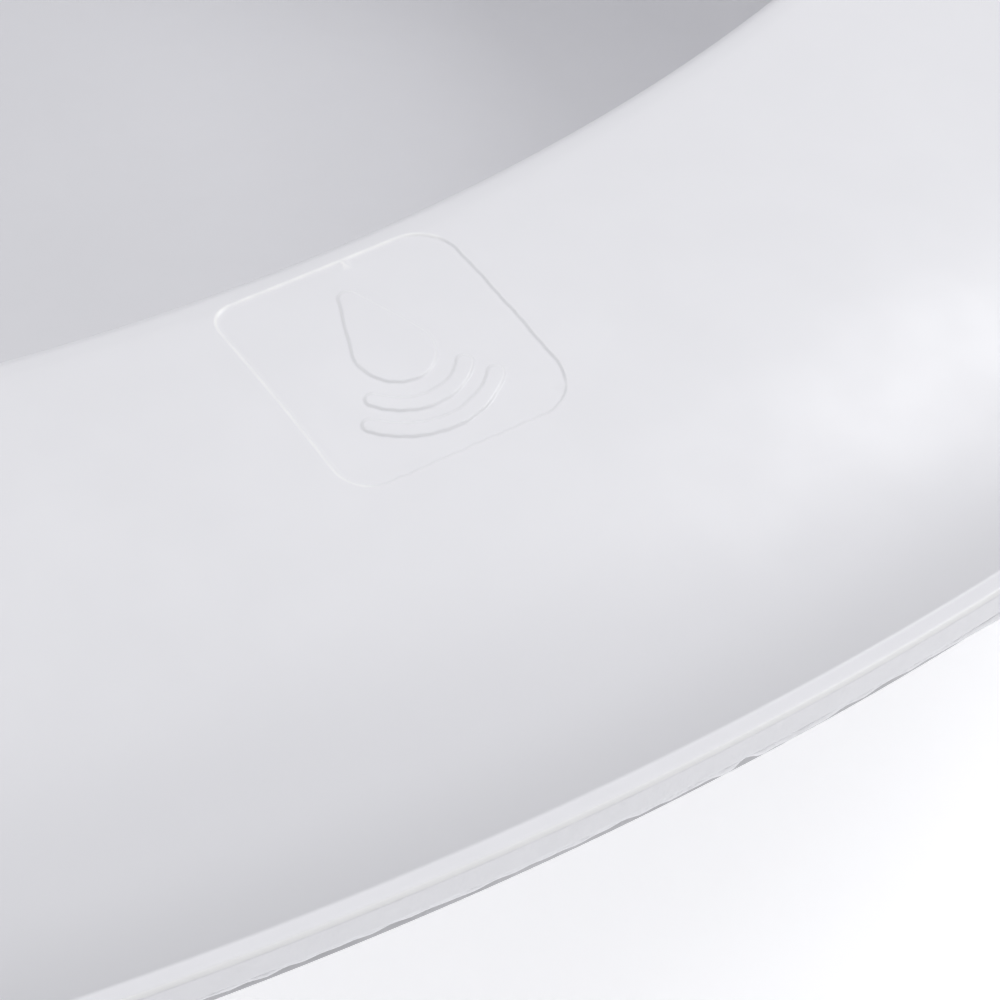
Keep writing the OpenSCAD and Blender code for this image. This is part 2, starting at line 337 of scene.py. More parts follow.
def gripFill(innerLine, rootSteps, grow, spacing):
    # places between a line across the grip's root and the flange's path
    path = flangePath(grow)
    outer = np.concatenate([path[mainCount:], path[:1]])        # far root, round the grip, near root
    nearSteps, farSteps = rootSteps
    loop = np.concatenate([innerLine, nearSteps, outer[::-1], farSteps])
    if not spacing:
        return fillPath(loop, np.zeros((0, 2)), 0)
    fillStart = seatFront - grip["fillReach"]
    extra = []
    for away in np.arange(0, gripSide + grow, spacing):
        x = np.arange(endCentre, fillStart, -spacing * grip["fillStretch"])
        extra += [np.stack([x, np.full(len(x), away * side)], -1) for side in ((1, -1) if away else (1,))]
        if away:
            turnCount = max(3, int(math.pi * away / (spacing * 1.2)))
            turn = np.linspace(-math.pi / 2, math.pi / 2, turnCount + 1)[1:-1]
            extra.append(np.stack([endCentre + away * np.cos(turn), away * np.sin(turn)], -1))
    for y in np.arange(gripSide, gripSide + grip["flare"], spacing):
        x = np.arange(fillStart, seatFront + grip["flare"], spacing)
        extra += [np.stack([x, np.full(len(x), y * side)], -1) for side in (1, -1)]
    return fillPath(loop, np.concatenate(extra), spacing * 0.55)


# the sunk mark: a drop over two ripples in a rounded square

mark = dict(
    turn=-82.46,          # degrees round the opening
    away=13.78,           # from the opening's edge to the middle
    half=10.0,
    corners=(3.6, 2.9, 2.0, 3.4),      # outer right, outer left, inner left, inner right
    depth=0.13,
    edge=0.12,            # half the width of its walls
    innerEdge=0.22,       # the same, where the wall by the opening is worn softer
    leftEdge=0.18,
    figureEdge=0.16,
    highlightWidth=0.20,        # half the width of the painted highlight line along a side
    burr=0.03,            # how far that line stands up
    reach=2.0,            # how far its own mesh goes beyond it
    narrowing=0.86,       # the rim's columns stand closer here than at the edge
    wallStep=0.2,         # points along a wall, and across it
    wallOffsets=(-0.42, -0.24, -0.13, -0.065, 0, 0.065, 0.13, 0.24, 0.42),
    spacing=0.85,         # points between the walls, and how far these keep off
    offWalls=0.7,
    offEdges=0.3,         # how far all of them keep off the mesh's outline
    nearest=0.9,          # and the opening
    farthest=16,
    sideFrom=7.5,         # where a wall turns into one by the opening, or into the left one
    sideOver=1.5,
    highlightFrom=7.6,          # the same for the painted highlight lines
    highlightOver=1.2,
    slip=dict(u=1.8, v=-9.75, share=0.75, spread=0.16, highlightSpread=0.10),      # of the tool, in one side
    nick=dict(u=9.2, v=8.3, share=0.5, spread=0.2),
    drop=dict(y=-0.2, radius=3.1, tipY=-6.3, tipRadius=0.8),
    ripples=[dict(radius=5.2, span=50), dict(radius=7.6, span=46)],
    rippleHalf=0.62,
)


def squareField(u, v):
    outerRight, outerLeft, innerLeft, innerRight = mark["corners"]
    radius = np.where(v > 0, np.where(u > 0, outerRight, outerLeft), np.where(u > 0, innerRight, innerLeft))
    x = np.abs(u) - mark["half"] + radius
    y = np.abs(v) - mark["half"] + radius
    return np.hypot(np.clip(x, 0, None), np.clip(y, 0, None)) + np.minimum(np.maximum(x, y), 0) - radius


def dropField(u, v):
    drop = mark["drop"]
    length = drop["y"] - drop["tipY"]
    x = np.abs(u)
    y = drop["y"] - v
    sine = (drop["radius"] - drop["tipRadius"]) / length
    cosine = math.sqrt(1 - sine * sine)
    share = -sine * x + cosine * y
    return np.where(share < 0, np.hypot(x, y) - drop["radius"],
                    np.where(share > cosine * length, np.hypot(x, y - length) - drop["tipRadius"],
                             cosine * x + sine * y - drop["radius"]))


def rippleField(u, v, ripple):
    y = v - mark["drop"]["y"]
    span = math.radians(ripple["span"])
    turn = np.arctan2(np.abs(u), y)
    endX = ripple["radius"] * math.sin(span)
    endY = ripple["radius"] * math.cos(span)
    return np.where(turn < span, np.abs(np.hypot(u, y) - ripple["radius"]),
                    np.hypot(np.abs(u) - endX, y - endY)) - mark["rippleHalf"]


def figureField(u, v):
    field = dropField(u, v)
    for ripple in mark["ripples"]:
        field = np.minimum(field, rippleField(u, v, ripple))
    return field


def evenly(points, step):
    loop = np.concatenate([points, points[:1]])
    run = np.concatenate([[0], np.cumsum(np.linalg.norm(np.diff(loop, axis=0), axis=1))])
    at = np.linspace(0, run[-1], int(run[-1] / step) + 1)[:-1]
    return np.stack([np.interp(at, run, loop[:, k]) for k in range(2)], -1)


def markLoops(step):
    # the walls' middle lines, as closed loops in the mark's own plane
    quarter = np.linspace(0, math.pi / 2, 40)
    square = np.concatenate([
        np.stack([sideX * (mark["half"] - radius) + radius * np.cos(quarter + start * math.pi),
                  sideY * (mark["half"] - radius) + radius * np.sin(quarter + start * math.pi)], -1)
        for radius, (sideX, sideY, start) in zip(
            mark["corners"], ((1, 1, 0), (-1, 1, 0.5), (-1, -1, 1), (1, -1, 1.5)))])
    drop = mark["drop"]
    lift = math.asin((drop["radius"] - drop["tipRadius"]) / (drop["y"] - drop["tipY"]))
    big = np.linspace(-lift, math.pi + lift, 120)
    small = np.linspace(math.pi + lift, 2 * math.pi - lift, 40)
    bigX, bigY = drop["radius"] * np.cos(big), drop["radius"] * np.sin(big)
    tipX, tipY = drop["tipRadius"] * np.cos(small), drop["tipRadius"] * np.sin(small)
    dropLoop = np.concatenate([np.stack([bigX, drop["y"] + bigY], -1),
                               np.stack([tipX, drop["tipY"] + tipY], -1)])
    loops = [square, dropLoop]
    for ripple in mark["ripples"]:
        span = math.radians(ripple["span"])
        wide = mark["rippleHalf"]
        turn = np.linspace(-span, span, 80)
        cap = np.linspace(0, math.pi, 30)
        middle = np.array([0, drop["y"]])
        rays = np.stack([np.sin(turn), np.cos(turn)], -1)
        endOut = np.array([math.sin(span), math.cos(span)])
        endOn = np.array([math.cos(span), -math.sin(span)])
        capTurn = np.cos(cap)[:, None] * endOut + np.sin(cap)[:, None] * endOn
        capPath = endOut * ripple["radius"] + wide * capTurn
        flip = np.array([-1, 1])
        loops.append(middle + np.concatenate([
            rays * (ripple["radius"] + wide), capPath[1:-1], rays[::-1] * (ripple["radius"] - wide),
            (capPath * flip)[-2:0:-1]]))
    return [evenly(loop, step) for loop in loops]


def spot(u, v, place, spread):
    return np.exp(-((u - place["u"]) ** 2 + (v - place["v"]) ** 2) / place[spread])


def markDepth(u, v):
    # how far the surface sinks
    def wallShape(field, soft):
        t = np.clip(field / soft * 0.5 + 0.5, 0, 1)
        return t * t * (3 - 2 * t)

    inner = np.clip((-v - mark["sideFrom"]) / mark["sideOver"], 0, 1) * (mark["innerEdge"] - mark["edge"])
    left = np.clip((-u - mark["sideFrom"]) / mark["sideOver"], 0, 1) * (mark["leftEdge"] - mark["edge"])
    wobble = 0.03 * np.sin(u * 1.7 + 0.4) * np.sin(v * 1.3) + 0.02 * np.sin(u * 4.1 + v * 3.3)
    pocket = 1 - wallShape(squareField(u, v) + wobble, mark["edge"] + np.maximum(inner, left))
    figure = 1 - wallShape(figureField(u, v) + wobble, mark["figureEdge"])
    slip = mark["slip"]["share"] * spot(u, v, mark["slip"], "spread")
    nick = mark["nick"]["share"] * spot(u, v, mark["nick"], "spread")
    return mark["depth"] * (pocket * (1 - figure) * (1 - slip) * (1 - nick))


def markPaintedHighlight(u, v):
    # painted highlight: two sides are painted bright where they stand up, and so are the slip of the tool
    # and a faint line round the figure
    side = np.clip(1 - np.abs(squareField(u, v) - 0.04) / mark["highlightWidth"], 0, 1)
    byOpening = np.clip((-v - mark["highlightFrom"]) / mark["highlightOver"], 0, 1)
    byLeft = 0.8 * np.clip((-u - mark["highlightFrom"]) / mark["highlightOver"], 0, 1)
    share = np.maximum(np.maximum(byOpening, byLeft), 0.12) * (0.82 + 0.18 * np.sin(u * 2.6 + v * 1.9))
    slip = spot(u, v, mark["slip"], "highlightSpread") * (0.5 + 0.5 * np.sin(u * 19))
    figure = 0.25 * np.clip(1 - np.abs(figureField(u, v)) / 0.12, 0, 1)
    return np.clip(np.maximum(np.maximum(side * share, slip), figure), 0, 1)


# the seat, as rows of points round the pan: up the inside, then over the lip and down the rim

mouth, outward, breadth = seatSection(angles)
steps = dict(lip=22, crown=38, foot=6, insideCrown=12, insideLip=8, corner=4)
insideShare = 0.9        # how much of the rim the inside follows before it meets the flange
edge = pan["edgeRound"]
wall = pan["wall"]
skirtEnd = crest - seat["lipRadius"] - seat["skirtDepth"]


def sectionRow(away, height):
    away = np.broadcast_to(away, breadth.shape)
    height = np.broadcast_to(height, breadth.shape)
    places = mouth + outward * away[:, None]
    if raised:        # where the grip's body comes out of the rim
        near = np.clip((away - grip["fadeFrom"]) / grip["fadeOver"], 0, 1)
        near = near * near * (3 - 2 * near)
        soft = grip["blend"] + grip["blendUp"] * near * np.clip(height - seat["flangeThick"], 0, None)
        body = gripHeight(places, grip["rise"])
        height = np.where(inSector, softMax(height, body, soft), height)
    return lean(places, height)


raised = False
innerRows = []
for t in np.linspace(insideShare, 0, steps["insideCrown"]):
    away, height, turn = crownPoint(breadth, t)
    innerRows.append(sectionRow(away - wall * np.sin(turn), height - wall * np.cos(turn)))
for turn in np.radians(np.linspace(90, 0, steps["insideLip"])):
    innerRows.append(sectionRow(seat["lipRadius"] * (1 - math.cos(turn)) + wall * math.cos(turn),
                                crest - seat["lipRadius"] * (1 - math.sin(turn)) - wall * math.sin(turn)))
innerRows.append(sectionRow(wall, skirtEnd + 0.2))
for turn in np.radians(np.linspace(0, 90, steps["corner"])):
    innerRows.append(sectionRow(wall - edge * (1 - math.cos(turn)), skirtEnd - edge * math.sin(turn)))
innerRows.append(sectionRow(wall / 2, skirtEnd - edge))
topRows = []
for turn in np.radians(np.linspace(90, 0, steps["corner"])):
    topRows.append(sectionRow(edge * (1 - math.cos(turn)), skirtEnd - edge * math.sin(turn)))
topRows.append(sectionRow(0, skirtEnd + 0.2))
topRows.append(sectionRow(0, skirtEnd + seat["skirtDepth"] / 2))
topRows.append(sectionRow(0, crest - seat["lipRadius"] - 0.2))
lipTurns = np.linspace(0, math.pi / 2 + crownAngle, steps["lip"] + 1)
rowAway = []          # where each top row lies out from the opening, for the mark's own mesh
for turn in lipTurns[:-1]:
    rowAway.append(np.full(len(angles), seat["lipRadius"] * (1 - math.cos(turn))))
    topRows.append(sectionRow(rowAway[-1], crest - seat["lipRadius"] * (1 - math.sin(turn))))
lipFirst = len(topRows) - len(rowAway)
raised = True
for t in np.linspace(0, 1, steps["crown"] + 1):
    away, height, _ = crownPoint(breadth, t)
    rowAway.append(away)
    topRows.append(sectionRow(away, height))
for t in np.linspace(0, 1, steps["foot"] + 1)[1:]:
    topRows.append(sectionRow(*footPoint(breadth, t)))
raised = False

# the mark's window in the grid
perTurn = 2 * math.pi
markTurn = math.radians(mark["turn"]) % perTurn
markColumn = int(np.argmin(np.abs(angles % perTurn - markTurn)))
rowAway = np.array(rowAway)
middleAway = rowAway[:, markColumn]
firstRow = int(np.argmax(middleAway > mark["away"] - mark["half"] - mark["reach"] * 0.8))
lastRow = int(np.argmax(middleAway > mark["away"] + mark["half"] + mark["reach"]))
columnEnds = outlinePoints(seatOutline, angles[markColumn:markColumn + 2])
stepAcross = float(np.linalg.norm(columnEnds[1] - columnEnds[0])) * mark["narrowing"]
sideColumns = int(math.ceil((mark["half"] + mark["reach"]) / stepAcross)) + 2
firstColumn = markColumn - sideColumns
lastColumn = markColumn + sideColumns


def inWindow(j, i):
    return lipFirst + firstRow <= j < lipFirst + lastRow and firstColumn <= i < lastColumn


seatMesh = Surface()
seatMesh.grid(np.array(innerRows), closed=True)
seatMesh.grid(np.array([innerRows[-1], topRows[0]]), closed=True)
seatMesh.grid(np.array(topRows), closed=True, skip=inWindow)


def rimSurface(turn, away):
    mouthHere, outHere, breadthHere = seatSection(turn)
    return lean(mouthHere + outHere * away[..., None], rimHeight(breadthHere, away))


# the mark's own mesh is drawn on a plane of turn and distance, then laid on the rim
small = 1e-3
markAway = np.array([mark["away"]])
markMiddle = rimSurface(np.array([markTurn]), markAway)[0]
nearTurns = np.array([markTurn - small, markTurn + small])
before, after = rimSurface(nearTurns, markAway)
turnScale = float(np.linalg.norm(after - before)) / (2 * small)
tangentU = unit(after - before)
above, below = rimSurface(np.array([markTurn, markTurn]), mark["away"] + np.array([-0.5, 0.5]))
tangentV = unit(below - above - tangentU * ((below - above) @ tangentU))


def markPlane(turn, away):
    reach = rimSurface(turn, away) - markMiddle
    return reach @ tangentU, reach @ tangentV


def fromMark(u, v):
    # turn and distance of a place on the mark, by a few steps of correction
    turn = markTurn + u / turnScale
    away = mark["away"] + v
    for _ in range(6):
        nowU, nowV = markPlane(turn, away)
        turn = turn + (u - nowU) / turnScale
        away = away + (v - nowV)
    return turn, away


windowLoop = []
for i in range(firstColumn, lastColumn):
    windowLoop.append((angles[i], rowAway[firstRow, i]))
for j in range(firstRow, lastRow):
    windowLoop.append((angles[lastColumn], rowAway[j, lastColumn]))
for i in range(lastColumn, firstColumn, -1):
    windowLoop.append((angles[i], rowAway[lastRow, i]))
for j in range(lastRow, firstRow, -1):
    windowLoop.append((angles[firstColumn], rowAway[j, firstColumn]))
windowLoop = np.array(windowLoop)
inWalls = []
for loop in markLoops(mark["wallStep"]):
    side = np.roll(loop, -1, axis=0) - np.roll(loop, 1, axis=0)
    normal = unit(np.stack([side[:, 1], -side[:, 0]], -1))
    for offset in mark["wallOffsets"]:
        inWalls.append(loop + normal * offset)
wallPoints = np.concatenate(inWalls)
spread = np.arange(-mark["half"] - mark["reach"] - 2, mark["half"] + mark["reach"] + 2, mark["spacing"])
plain = np.stack(np.meshgrid(spread, spread), -1).reshape(-1, 2)
fromSquare = np.abs(squareField(plain[:, 0], plain[:, 1]))
fromFigure = np.abs(figureField(plain[:, 0], plain[:, 1]))
plain = plain[np.minimum(fromSquare, fromFigure) > mark["offWalls"]]
places = np.concatenate([wallPoints, plain])
turn, away = fromMark(places[:, 0], places[:, 1])
keep = (away > mark["nearest"]) & (away < mark["away"] + mark["farthest"])
turn, away = turn[keep] % perTurn, away[keep]
loopPlane = np.stack([(windowLoop[:, 0] % perTurn - markTurn) * turnScale, windowLoop[:, 1]], -1)
innerPlane = np.stack([(turn - markTurn) * turnScale, away], -1)
markVerts, markFaces = fillPath(loopPlane, innerPlane, mark["offEdges"])
turn = markVerts[:, 0] / turnScale + markTurn
away = markVerts[:, 1]
onRim = rimSurface(turn, away)
across = rimSurface(turn + small / turnScale, away) - rimSurface(turn - small / turnScale, away)
down = rimSurface(turn, away + small) - rimSurface(turn, away - small)
normal = unit(np.cross(across, down))
normal *= np.sign(normal[:, 2:3])
u, v = markPlane(turn, away)
paintedHighlight = markPaintedHighlight(u, v)
onRim = onRim + normal * (mark["burr"] * paintedHighlight - markDepth(u, v))[:, None]
seatMesh.add(onRim, markFaces, paintedHighlight)
print("mark", len(markVerts), "points")

# flange rows behind the grip, and the flat and body of the grip itself
flangeTop = seat["flangeThick"]
footPlaces = mouth + outward * (breadth - seat["flangeWidth"])[:, None]
mainWrap = np.concatenate([np.arange(sectorCount, sectorCount + mainCount), [0]])
outerTop = flangePath(-edge)
flangeSteps = np.linspace(0, 1, 4)[:, None, None]
topFlat = footPlaces[mainWrap] * (1 - flangeSteps) + outerTop[pathMain] * flangeSteps
seatMesh.grid(lean(topFlat, flangeTop))
sectorWrap = np.concatenate([np.arange(sectorCount), [sectorCount]])
nearSteps = topFlat[1:-1, 0]
farSteps = topFlat[1:-1, -1]
places, faces = gripFill(footPlaces[sectorWrap], (nearSteps, farSteps[::-1]), -edge, 0.95)
height = softMax(np.full(len(places), flangeTop), gripHeight(places, grip["rise"]), grip["blend"])
seatMesh.add(lean(places, height), faces)

# the flange's edge, all the way round
under = 0.15
stripRows = [(-edge + edge * math.sin(turn), flangeTop - edge + edge * math.cos(turn))
             for turn in np.radians(np.linspace(0, 90, 6))]
stripRows += [(0, flangeTop - edge - 0.12), (0, flangeTop / 2), (0, under + 0.08)]
stripRows += [(-under + under * math.cos(turn), under - under * math.sin(turn))
              for turn in np.radians(np.linspace(0, 90, 4))]
seatMesh.grid(np.array([lean(flangePath(grow), height) for grow, height in stripRows]), closed=True)

# the weld plane
weldLine = mouth + outward * (breadth - seat["weldWidth"])[:, None]
seatMesh.grid(np.array([lean(weldLine, 0), innerRows[0]]), closed=True)
outerUnder = flangePath(-under)
seatMesh.grid(lean(np.array([weldLine[mainWrap], outerUnder[pathMain]]), 0))
places, faces = gripFill(weldLine[sectorWrap], (np.zeros((0, 2)), np.zeros((0, 2))), -under, 0)
seatMesh.add(lean(places, 0), faces)
seatPiece = seatMesh.piece("seat_moulding")


# the bowl, with the lower half of the grip

bowl = dict(
    footHeight=2.4,
    footWidth=5.0,
    footInset=1.5,        # from the edge of the flat floor to the foot ring
    footEdge=0.5,         # rounding of the foot ring
    baseRound=16.0,       # how softly the wall turns into the floor
    flangeThick=1.7,
    flangeStep=0.6,       # how far this flange stays inside the seat's
    weldWidth=5.6,
    fillet=1.6,           # between the flange and the wall
    wallSteps=40,
    wallCrowding=1.15,    # puts more of these near the flange
    filletFrom=0.035,     # where the fillet takes over from the wall, as a share of its run
    insideSteps=30,
    insideFrom=0.09,      # where the inside leaves the weld plane, as the same share
)
lowerThick = bowl["flangeThick"]
edgePlaces = outlinePoints(seatOutline, angles)
corner = outlinePoints(baseOutline, angles)
wayIn = unit(corner - edgePlaces)
levelIn = np.concatenate([wayIn, np.zeros((len(angles), 1))], 1)
floorUnder = bowl["footHeight"]
wallTop = lean(edgePlaces + wayIn * (bowl["weldWidth"] + 1), -lowerThick)
wallLow = np.concatenate([corner - [middleX, 0], np.full((len(angles), 1), floorUnder)], 1)
wallEnds = [wallTop, (wallTop + wallLow) / 2, wallLow, wallLow + levelIn * bowl["baseRound"]]


def wallPoint(t):
    s = 1 - t
    shares = (s ** 3, 3 * s * s * t, 3 * s * t * t, t ** 3)
    return sum(share * end for share, end in zip(shares, wallEnds))


def wallInside(t, depth):
    s = 1 - t
    rate = (s * s * (wallEnds[1] - wallEnds[0]) + 2 * s * t * (wallEnds[2] - wallEnds[1])
            + t * t * (wallEnds[3] - wallEnds[2]))
    ahead = unit(rate[:, :2])
    flatRate = np.linalg.norm(rate[:, :2], axis=1, keepdims=True)
    side = np.concatenate([-rate[:, 2:] * ahead, flatRate], 1)
    return wallPoint(t) + side * depth / np.linalg.norm(rate, axis=1, keepdims=True)


def withGrip(points):
    # the grip's lower half comes out of the wall
    flatPlaces, height = layFlat(points)
    lower = -softMax(-height, gripHeight(flatPlaces, grip["drop"]), grip["blend"])
    return lean(flatPlaces, np.where(inSector, lower, height))


def floorRow(grow, height, share=1.0):
    places = outlinePoints(baseOutline, angles, grow)
    centre = np.array([base["shift"], 0.0])
    places = centre + (places - centre) * share - [middleX, 0]
    return np.concatenate([places, np.full((len(angles), 1), height)], 1)


footOuter = -bowl["baseRound"] - bowl["footInset"]
footInner = footOuter - bowl["footWidth"]
footEdge = bowl["footEdge"]
outerRows = [floorRow(footInner, floorUnder, share) for share in (0, 0.15, 0.4, 0.7, 0.95, 1)]
for turn in np.radians(np.linspace(0, 90, 5)):
    outerRows.append(floorRow(footInner + footEdge * (1 - math.cos(turn)), footEdge * (1 - math.sin(turn))))
for turn in np.radians(np.linspace(90, 0, 5)):
    outerRows.append(floorRow(footOuter - footEdge * (1 - math.cos(turn)), footEdge * (1 - math.sin(turn))))
outerRows.append(floorRow(footOuter, floorUnder - 0.1))
outerRows.append(floorRow(footOuter + 0.1, floorUnder))
for t in np.linspace(1, 0, bowl["wallSteps"] + 1) ** bowl["wallCrowding"]:
    if t > bowl["filletFrom"]:
        outerRows.append(withGrip(wallPoint(t)))
filletEnd = edgePlaces + wayIn * (bowl["weldWidth"] + 1 - bowl["fillet"])
filletLine = lean(filletEnd, -lowerThick)
for t in np.linspace(0, 1, 6):
    s = 1 - t
    filletStart = wallPoint(bowl["filletFrom"])
    outerRows.append(withGrip(s * s * filletStart + 2 * s * t * wallTop + t * t * filletLine))
innerRows = [lean(edgePlaces + wayIn * bowl["weldWidth"], 0)]
for t in np.linspace(bowl["insideFrom"], 1, bowl["insideSteps"] + 1):
    innerRows.append(wallInside(t, wall))
for share in (0.97, 0.85, 0.6, 0.3, 0):
    innerRows.append(floorRow(-bowl["baseRound"], floorUnder + wall, share))

bowlMesh = Surface()
bowlMesh.grid(np.array(outerRows), closed=True)
bowlMesh.grid(np.array(innerRows), closed=True)
lowerEdge = flangePath(-bowl["flangeStep"] - edge)
lowerFlat = filletEnd[mainWrap] * (1 - flangeSteps) + lowerEdge[pathMain] * flangeSteps
bowlMesh.grid(lean(lowerFlat, -lowerThick))
places, faces = gripFill(filletEnd[sectorWrap], (lowerFlat[1:-1, 0], lowerFlat[1:-1, -1][::-1]),
                         -bowl["flangeStep"] - edge, 1.3)
height = softMax(np.full(len(places), lowerThick), gripHeight(places, grip["drop"]), grip["blend"])
bowlMesh.add(lean(places, -height), faces)
stripRows = [(-bowl["flangeStep"] - edge * (1 - math.sin(turn)), -lowerThick + edge * (1 - math.cos(turn)))
             for turn in np.radians(np.linspace(0, 90, 6))]
stripRows += [(-bowl["flangeStep"], -lowerThick / 2), (-bowl["flangeStep"], 0)]
bowlMesh.grid(np.array([lean(flangePath(grow), height) for grow, height in stripRows]), closed=True)
weldLine = edgePlaces + wayIn * bowl["weldWidth"]
outerWeld = flangePath(-bowl["flangeStep"])
bowlMesh.grid(lean(np.array([weldLine[mainWrap], outerWeld[pathMain]]), 0))
places, faces = gripFill(weldLine[sectorWrap], (np.zeros((0, 2)), np.zeros((0, 2))), -bowl["flangeStep"], 0)
bowlMesh.add(lean(places, 0), faces)
bowlPiece = bowlMesh.piece("bowl_moulding")


# the bead that the weld squeezed out between the flanges

bead = dict(
    step=0.55,            # how often its section is drawn along the flange
    setback=0.16,         # inside the seat's edge, as a middle value
    height=0.56,          # under the weld plane, as a middle value
    swell=0.30,           # how much more was squeezed out in some places than in others
    swellFrom=-97,        # least at this turn round the seat, degrees
    swellTo=-77,          # most at this one
    ripple=0.10,
    inWaves=(8, 60),      # how many ripples go round, in and out
    fineInWaves=(90, 420),
    downWaves=(10, 80),   # and up and down
    fineDownWaves=(120, 500),
    nicks=34,             # places where the flash broke off
    nickWidth=(0.8, 3.2),        # in sections
    nickSetback=(0.08, 0.25),
    nickHeight=(0.1, 0.4),
    setbackLimits=(0.04, 0.42),
    heightLimits=(0.12, 1.0),
)
stations = len(flangePath(0, bead["step"]))
along = np.arange(stations) / stations * 2 * math.pi


def loopNoise(waves, count=14):
    # a smooth value along the weld that meets itself
    total = np.zeros(stations)
    for wave in rng.integers(waves[0], waves[1], count):
        total += np.sin(along * wave + rng.uniform(0, 2 * math.pi)) / math.sqrt(count / 2)
    return total


setback = (bead["setback"] + bead["ripple"] * 0.55 * loopNoise(bead["inWaves"])
           + bead["ripple"] * 0.35 * loopNoise(bead["fineInWaves"]))
swellX = outlinePoints(seatOutline, np.radians([bead["swellFrom"], bead["swellTo"]]))[:, 0]
swell = np.sin(math.pi * ((flangePath(0, bead["step"])[:, 0] - swellX[0]) / (swellX[1] - swellX[0]) - 0.5))
height = (bead["height"] + bead["swell"] * swell + bead["ripple"] * 0.7 * loopNoise(bead["downWaves"])
          + bead["ripple"] * 0.6 * loopNoise(bead["fineDownWaves"]))
for _ in range(bead["nicks"]):
    centre = rng.uniform(0, stations)
    width = rng.uniform(*bead["nickWidth"])
    reach = np.abs(np.arange(stations) - centre)
    dip = np.exp(-(np.minimum(reach, stations - reach) / width) ** 2)
    setback = setback + dip * rng.uniform(*bead["nickSetback"])
    height = height - dip * rng.uniform(*bead["nickHeight"])
setback = np.clip(setback, *bead["setbackLimits"])
height = np.clip(height, *bead["heightLimits"])
hidden = bowl["flangeStep"] + 0.05
section = [(hidden, 0.0), (setback + 0.12, 0.0), (setback + 0.03, height * 0.08), (setback, height * 0.25),
           (setback + 0.01, height * 0.6), (setback + 0.05, height * 0.85), (setback + 0.12, height * 0.97),
           (hidden, height + 0.02)]
beadMesh = Surface()
rows = [lean(flangePath(-np.broadcast_to(inset, stations), bead["step"]), -np.broadcast_to(depth, stations))
        for inset, depth in section + section[:1]]
beadMesh.grid(np.array(rows), closed=True)
beadPiece = beadMesh.piece("weld_bead_flash")


class Wire:
    # a node's output, so that shader maths reads as an expression
    def __init__(self, finish, socket):
        self.finish = finish
        self.socket = socket

    def math(self, operation, first, second=None):
        values = [first] if second is None else [first, second]
        return self.finish.node("ShaderNodeMath", dict(operation=operation), values)

    def __add__(self, other):
        return self.math("ADD", self, other)

    def __radd__(self, other):
        return self.math("ADD", other, self)

    def __sub__(self, other):
        return self.math("SUBTRACT", self, other)

    def __rsub__(self, other):
        return self.math("SUBTRACT", other, self)

    def __mul__(self, other):
        return self.math("MULTIPLY", self, other)

    def __rmul__(self, other):
        return self.math("MULTIPLY", other, self)

    def __pow__(self, other):
        return self.math("POWER", self, other)

    def over(self, start, end):
        # 0 at start, 1 at end
        return self.finish.node("ShaderNodeMapRange", dict(clamp=True, interpolation_type="SMOOTHSTEP"),
                                {"Value": self, "From Min": start, "From Max": end})

    def overHeights(self, name):
        start, end = plastic[name]
        return self.over(start * mm, end * mm)


class Finish:
    # nodes of a material, or of the world
    def __init__(self, owner):
        self.owner = owner
        owner.use_nodes = True
        self.tree = owner.node_tree
        self.tree.nodes.clear()

    def node(self, kind, settings=None, sockets=None, out=0):
        made = self.tree.nodes.new(kind)
        for key, value in (settings or {}).items():
            setattr(made, key, value)
        named = sockets.items() if isinstance(sockets, dict) else enumerate(sockets or [])
        for key, value in named:
            if isinstance(value, Wire):
                self.tree.links.new(value.socket, made.inputs[key])
            else:
                made.inputs[key].default_value = value
        return Wire(self, made.outputs[out]) if len(made.outputs) else None

    def noise(self, place, size, detail=2.0, rough=0.5):
        # size is the length of a wave, in metres
        return self.node("ShaderNodeTexNoise", {}, {"Vector": place, "Scale": 1 / size,
                                                    "Detail": detail, "Roughness": rough})

    def mix(self, share, first, second):
        return self.node("ShaderNodeMix", dict(data_type="RGBA"),
                         {0: share, 6: first, 7: second}, out=2)


plastic = dict(
    seat=dict(colour=(0.87, 0.87, 0.905, 1), shade=(0.835, 0.835, 0.87, 1), weldShadeTone=(0.82, 0.82, 0.85, 1),
              roughness=0.27, bump=1.0, paintedGlow=0.0),
    bowl=dict(colour=(0.76, 0.76, 0.79, 1), shade=(0.73, 0.73, 0.76, 1), weldShadeTone=(0.40, 0.40, 0.42, 1),
              roughness=0.31, bump=1.2, paintedGlow=0.10, outside=(0.60, 0.60, 0.625, 1)),
    weld=dict(colour=(0.86, 0.86, 0.89, 1), shade=(0.78, 0.78, 0.81, 1), weldShadeTone=(0.83, 0.83, 0.86, 1),
              roughness=0.38, bump=4.0, paintedGlow=0.0),
    speck=(0.50, 0.49, 0.47, 1),
    # white of the painted highlights
    paintedHighlight=(1.0, 1.0, 1.0, 1),
    paintedHollowShade=0.91,       # painted shade: the colour is a little darker in the hollow over the flange
    # colours of the painted glow, dim and lit
    paintedGlowDim=(0.12, 0.12, 0.13, 1),
    paintedGlowLit=(0.96, 0.96, 1.0, 1),
    cloudSize=0.045,
    waveSize=0.016,
    peelSize=0.0011,
    dragSize=0.0022,      # marks of the welding tool along the flange
    speckSize=0.010,
    speckRadius=(0.010, 0.022),        # as shares of that
    speckPick=(0.80, 0.82),
    weldShadeNoiseSize=0.004,
    scuffSize=0.012,
    scuffTurn=(0.1, 0.2, 0.7),
    scuffStretch=(1, 14, 3),
    refraction=1.49,
    relief=0.00002,       # metres for a height of 1
    # heights over the weld plane where a tone starts and where it is full, in millimetres
    weldTop=(2.0, 2.3),
    weldBottom=(-2.4, -1.8),
    cornerStart=(2.05, 2.25),
    cornerEnd=(2.44, 2.5),
    hollowStart=(2.5, 2.62),
    hollowEnd=(3.0, 6.8),
    gripGlow=(0.01, 0.11),        # lengthwise places, in metres
    underside=(-0.5, -0.15),      # upward share of the surface's direction
)


# height of the weld plane along its own normal
weldHeight = pan["level"] * math.cos(slope) + middleX * math.sin(slope)


